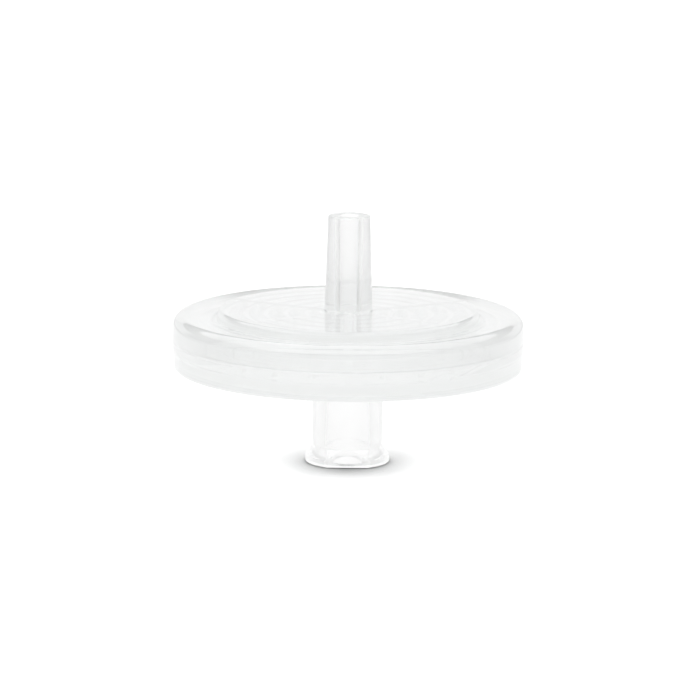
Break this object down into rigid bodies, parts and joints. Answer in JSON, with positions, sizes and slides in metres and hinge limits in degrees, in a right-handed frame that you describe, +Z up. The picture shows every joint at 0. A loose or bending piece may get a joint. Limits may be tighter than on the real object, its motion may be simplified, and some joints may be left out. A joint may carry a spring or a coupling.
{
  "type": "syringe filter",
  "caption": "Milky translucent disc filter with a slip cone outlet on top and a lugged socket inlet below, its membrane sealed in by a moulded ring.",
  "frame": {"origin": "middle of the inlet's foot, where the unit stands", "axes": "+Z up the flow axis from the inlet to the outlet cone; +X through the inlet's two lugs"},
  "size_m": [0.0328, 0.0328, 0.0233],
  "materials": {
    "clear_plate": "natural polypropylene, milky translucent, smooth",
    "clear_ring": "natural polypropylene, overmoulded, smooth",
    "membrane": "fine matt white"
  },
  "bodies": {
    "root": {"outlet_housing": "clear_plate", "inlet_housing": "clear_plate", "filter_membrane": "membrane", "overmoulded_ring": "clear_ring"}
  },
  "joints": []
}
